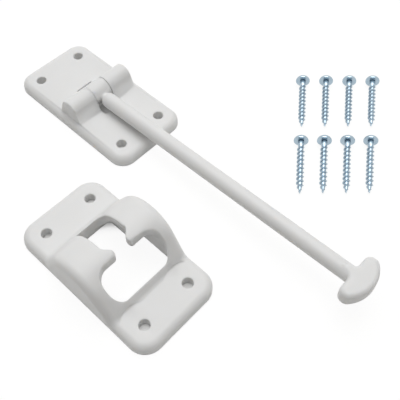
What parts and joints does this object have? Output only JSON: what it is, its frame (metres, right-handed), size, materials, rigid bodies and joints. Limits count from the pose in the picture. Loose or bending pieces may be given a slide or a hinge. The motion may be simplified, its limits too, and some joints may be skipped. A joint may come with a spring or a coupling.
{
  "type": "recreational vehicle door latch",
  "caption": "Door holder kit for a camper: hinged arm with a T-shaped head, a catch plate whose fingers grip the rod behind the head, and pan-head screws.",
  "frame": {"origin": "centre of the hinge plate's four screw holes, on the plate's back face", "axes": "+Z out of the mounting face, +X along both plates and along the arm, +Y along the hinge axis"},
  "size_m": [0.1903, 0.1781, 0.0227],
  "materials": {
    "white_plastic": "satin moulded",
    "pin_steel": "plain steel",
    "zinc_steel": "bright zinc plated"
  },
  "bodies": {
    "plates_and_screws": {"hinge_base": "white_plastic", "hinge_pin": "pin_steel", "catch_plate": "white_plastic", "mounting_screw_1": "zinc_steel", "mounting_screw_2": "zinc_steel", "mounting_screw_3": "zinc_steel", "mounting_screw_4": "zinc_steel", "mounting_screw_5": "zinc_steel", "mounting_screw_6": "zinc_steel", "mounting_screw_7": "zinc_steel", "mounting_screw_8": "zinc_steel"},
    "arm": {"holder_arm": "white_plastic"}
  },
  "joints": [
    {"name": "arm_swing", "type": "hinge", "parent": "plates_and_screws", "child": "arm", "pos_m": [0, 0, 0.0087], "axis": [0, -1, 0], "range_deg": [-2, 177.3]}
  ]
}
